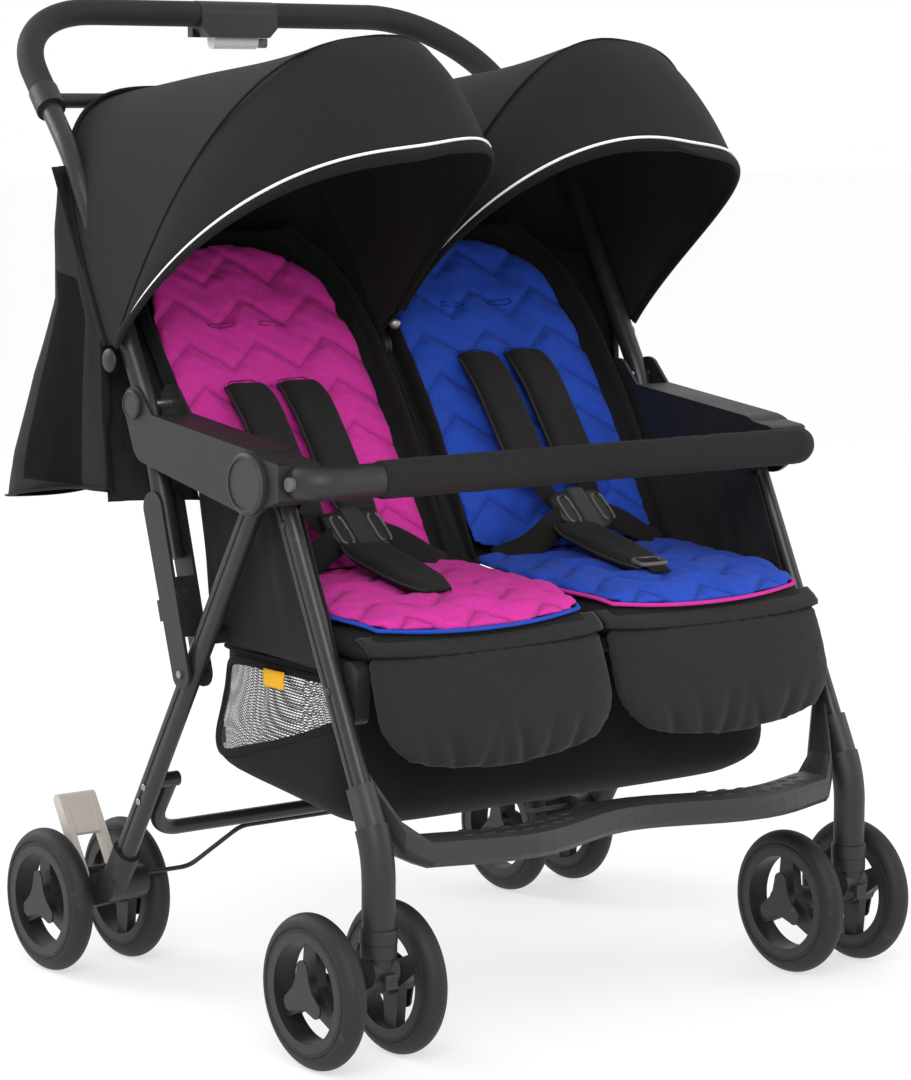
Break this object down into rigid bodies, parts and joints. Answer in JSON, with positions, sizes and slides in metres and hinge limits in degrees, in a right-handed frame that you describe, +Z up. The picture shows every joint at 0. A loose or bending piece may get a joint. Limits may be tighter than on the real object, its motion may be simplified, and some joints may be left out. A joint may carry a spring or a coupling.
{
  "type": "side by side double stroller",
  "caption": "Folding side by side double stroller with padded seats, sun hoods, bumper bar, under-seat basket, double swivel front wheels and a foot brake.",
  "frame": {"origin": "on the floor, at the middle of the outer box in plan", "axes": "+X to the right of someone who pushes it, -Y to the front, +Z up"},
  "size_m": [0.755, 0.7669, 1.042],
  "materials": {
    "tube": "satin powder coat",
    "dark_tube": "satin powder coat",
    "frame_plastic": "fine moulded grain",
    "wheel_plastic": "satin moulded",
    "grip_foam": "fine foam",
    "steel": "plain",
    "light_plastic": "satin moulded",
    "button_plastic": "satin moulded",
    "buckle_plastic": "fine grain",
    "cable": "smooth sheath",
    "black_cloth": "plain weave",
    "pink_cloth": "quilted plain weave",
    "blue_cloth": "quilted plain weave"
  },
  "bodies": {
    "rear_frame": {"rear_leg_left": "tube", "rear_leg_right": "tube", "rear_cross_tube": "dark_tube", "rear_hubs": "frame_plastic", "rear_axles": "steel", "brake_cable": "cable", "seat_frame": "dark_tube", "seat_left": "pink_cloth", "seat_right": "blue_cloth", "basket": "black_cloth", "seat_sides": "black_cloth", "buckle_left": "buckle_plastic", "buckle_right": "buckle_plastic", "frame_rivets": "steel"},
    "armrests": {"armrest_left": "frame_plastic", "armrest_right": "frame_plastic", "pivot_caps": "frame_plastic", "fold_pins": "steel"},
    "push_frame": {"push_bar": "tube", "handle_grip": "grip_foam", "handle_housing": "frame_plastic", "cross_brace": "dark_tube", "hood_rear_left": "black_cloth", "hood_rear_right": "black_cloth", "rear_drapes": "black_cloth"},
    "front_frame": {"front_leg_left": "tube", "front_leg_right": "tube", "footrest": "frame_plastic", "front_shoes": "frame_plastic"},
    "lock_links": {"lock_links": "frame_plastic"},
    "rear_wheel_left_outer": {"rear_wheel_left_outer": "wheel_plastic"},
    "rear_wheel_left_inner": {"rear_wheel_left_inner": "wheel_plastic"},
    "rear_wheel_right_inner": {"rear_wheel_right_inner": "wheel_plastic"},
    "rear_wheel_right_outer": {"rear_wheel_right_outer": "wheel_plastic"},
    "caster_left": {"caster_left": "frame_plastic"},
    "caster_right": {"caster_right": "frame_plastic"},
    "front_wheel_left_outer": {"front_wheel_left_outer": "wheel_plastic"},
    "front_wheel_left_inner": {"front_wheel_left_inner": "wheel_plastic"},
    "front_wheel_right_inner": {"front_wheel_right_inner": "wheel_plastic"},
    "front_wheel_right_outer": {"front_wheel_right_outer": "wheel_plastic"},
    "caster_lock_left": {"caster_lock_left": "button_plastic"},
    "caster_lock_right": {"caster_lock_right": "button_plastic"},
    "brake_pedal": {"brake_pedal": "light_plastic"},
    "brake_arm": {"brake_arm": "frame_plastic"},
    "hood_left": {"hood_left": "black_cloth"},
    "hood_right": {"hood_right": "black_cloth"},
    "seat_back_left": {"seat_back_left": "pink_cloth", "harness_left": "black_cloth"},
    "seat_back_right": {"seat_back_right": "blue_cloth", "harness_right": "black_cloth"},
    "calf_rest_left": {"calf_rest_left": "black_cloth"},
    "calf_rest_right": {"calf_rest_right": "black_cloth"},
    "bumper_bar": {"bumper_bar": "frame_plastic", "bumper_cover": "black_cloth"},
    "bumper_button_left": {"bumper_button_left": "button_plastic"},
    "bumper_button_right": {"bumper_button_right": "button_plastic"},
    "fold_trigger": {"fold_trigger": "light_plastic"},
    "fold_slider": {"fold_slider": "button_plastic"},
    "buckle_button_left": {"buckle_button_left": "button_plastic"},
    "buckle_button_right": {"buckle_button_right": "button_plastic"}
  },
  "joints": [
    {"name": "frame_fold", "type": "hinge", "parent": "rear_frame", "child": "armrests", "pos_m": [0, -0.175, 0.558], "axis": [-1, 0, 0], "range_deg": [0, 45.09], "deforming": ["hood_rear_left", "hood_rear_right", "rear_drapes", "seat_sides"]},
    {"name": "push_fold", "type": "hinge", "parent": "armrests", "child": "push_frame", "pos_m": [0, 0.033, 0.621], "axis": [1, 0, 0], "range_deg": [0, 107.11]},
    {"name": "front_fold", "type": "hinge", "parent": "rear_frame", "child": "front_frame", "pos_m": [0, -0.175, 0.558], "axis": [1, 0, 0], "range_deg": [0, 35.02]},
    {"name": "link_fold", "type": "hinge", "parent": "rear_frame", "child": "lock_links", "pos_m": [0, -0.04737, 0.35188], "axis": [-1, 0, 0], "range_deg": [0, 68]},
    {"name": "rear_wheel_left_outer_spin", "type": "hinge", "parent": "rear_frame", "child": "rear_wheel_left_outer", "pos_m": [-0.3625, 0.1895, 0.077], "axis": [1, 0, 0], "continuous": true},
    {"name": "rear_wheel_left_inner_spin", "type": "hinge", "parent": "rear_frame", "child": "rear_wheel_left_inner", "pos_m": [-0.2655, 0.1895, 0.077], "axis": [1, 0, 0], "continuous": true},
    {"name": "rear_wheel_right_outer_spin", "type": "hinge", "parent": "rear_frame", "child": "rear_wheel_right_outer", "pos_m": [0.3625, 0.1895, 0.077], "axis": [1, 0, 0], "continuous": true},
    {"name": "rear_wheel_right_inner_spin", "type": "hinge", "parent": "rear_frame", "child": "rear_wheel_right_inner", "pos_m": [0.2655, 0.1895, 0.077], "axis": [1, 0, 0], "continuous": true},
    {"name": "caster_left_swivel", "type": "hinge", "parent": "front_frame", "child": "caster_left", "pos_m": [-0.314, -0.3395, 0.126], "axis": [0, 0, 1], "continuous": true},
    {"name": "front_wheel_left_outer_spin", "type": "hinge", "parent": "caster_left", "child": "front_wheel_left_outer", "pos_m": [-0.3625, -0.3005, 0.077], "axis": [1, 0, 0], "continuous": true},
    {"name": "front_wheel_left_inner_spin", "type": "hinge", "parent": "caster_left", "child": "front_wheel_left_inner", "pos_m": [-0.2655, -0.3005, 0.077], "axis": [1, 0, 0], "continuous": true},
    {"name": "caster_lock_left_slide", "type": "slide", "parent": "caster_left", "child": "caster_lock_left", "axis": [0, 0, 1], "range_m": [0, 0.005]},
    {"name": "caster_right_swivel", "type": "hinge", "parent": "front_frame", "child": "caster_right", "pos_m": [0.314, -0.3395, 0.126], "axis": [0, 0, 1], "continuous": true},
    {"name": "front_wheel_right_outer_spin", "type": "hinge", "parent": "caster_right", "child": "front_wheel_right_outer", "pos_m": [0.3625, -0.3005, 0.077], "axis": [1, 0, 0], "continuous": true},
    {"name": "front_wheel_right_inner_spin", "type": "hinge", "parent": "caster_right", "child": "front_wheel_right_inner", "pos_m": [0.2655, -0.3005, 0.077], "axis": [1, 0, 0], "continuous": true},
    {"name": "caster_lock_right_slide", "type": "slide", "parent": "caster_right", "child": "caster_lock_right", "axis": [0, 0, 1], "range_m": [0, 0.005]},
    {"name": "brake_pedal_press", "type": "hinge", "parent": "rear_frame", "child": "brake_pedal", "pos_m": [-0.314, 0.1685, 0.104], "axis": [-1, 0, 0], "range_deg": [0, 24]},
    {"name": "brake_arm_follow", "type": "hinge", "parent": "rear_frame", "child": "brake_arm", "pos_m": [0.314, 0.1685, 0.104], "axis": [-1, 0, 0], "range_deg": [0, 24.02]},
    {"name": "hood_left_open", "type": "hinge", "parent": "push_frame", "child": "hood_left", "pos_m": [-0.1765, 0.06425, 0.67775], "axis": [-0.995, 0.0615, -0.0786], "range_deg": [0, 60], "deforming": ["hood_left"]},
    {"name": "hood_right_open", "type": "hinge", "parent": "push_frame", "child": "hood_right", "pos_m": [0.1765, 0.06425, 0.67775], "axis": [-0.995, -0.0615, 0.0786], "range_deg": [0, 60], "deforming": ["hood_right"]},
    {"name": "seat_back_left_recline", "type": "hinge", "parent": "rear_frame", "child": "seat_back_left", "pos_m": [-0.157, -0.062, 0.391], "axis": [-1, 0, 0], "range_deg": [0, 24]},
    {"name": "seat_back_right_recline", "type": "hinge", "parent": "rear_frame", "child": "seat_back_right", "pos_m": [0.157, -0.062, 0.391], "axis": [-1, 0, 0], "range_deg": [0, 24]},
    {"name": "calf_rest_left_raise", "type": "hinge", "parent": "rear_frame", "child": "calf_rest_left", "pos_m": [-0.152, -0.28, 0.378], "axis": [-1, 0, 0], "range_deg": [0, 40]},
    {"name": "calf_rest_right_raise", "type": "hinge", "parent": "rear_frame", "child": "calf_rest_right", "pos_m": [0.152, -0.28, 0.378], "axis": [-1, 0, 0], "range_deg": [0, 40]},
    {"name": "bumper_bar_release", "type": "slide", "parent": "armrests", "child": "bumper_bar", "axis": [0, -1, 0], "range_m": [0, 0.05]},
    {"name": "bumper_button_left_press", "type": "slide", "parent": "bumper_bar", "child": "bumper_button_left", "axis": [1, 0, 0], "range_m": [0, 0.003], "stiffness_N_per_m": 400},
    {"name": "bumper_button_right_press", "type": "slide", "parent": "bumper_bar", "child": "bumper_button_right", "axis": [-1, 0, 0], "range_m": [0, 0.003], "stiffness_N_per_m": 400},
    {"name": "fold_trigger_squeeze", "type": "slide", "parent": "push_frame", "child": "fold_trigger", "axis": [0, 0, 1], "range_m": [0, 0.008], "stiffness_N_per_m": 500},
    {"name": "fold_slider_slide", "type": "slide", "parent": "push_frame", "child": "fold_slider", "axis": [1, 0, 0], "range_m": [0, 0.006]},
    {"name": "buckle_button_left_press", "type": "slide", "parent": "rear_frame", "child": "buckle_button_left", "axis": [0, 0.6691, -0.7431], "range_m": [0, 0.0015], "stiffness_N_per_m": 500},
    {"name": "buckle_button_right_press", "type": "slide", "parent": "rear_frame", "child": "buckle_button_right", "axis": [0, 0.6691, -0.7431], "range_m": [0, 0.0015], "stiffness_N_per_m": 500}
  ],
  "couplings": [
    {"joint": "push_fold", "follows": "frame_fold", "ratio": 2.3752},
    {"joint": "front_fold", "follows": "frame_fold", "ratio": 0.77629},
    {"joint": "link_fold", "follows": "frame_fold", "ratio": 1.5078},
    {"joint": "brake_arm_follow", "follows": "brake_pedal_press", "ratio": 1}
  ]
}
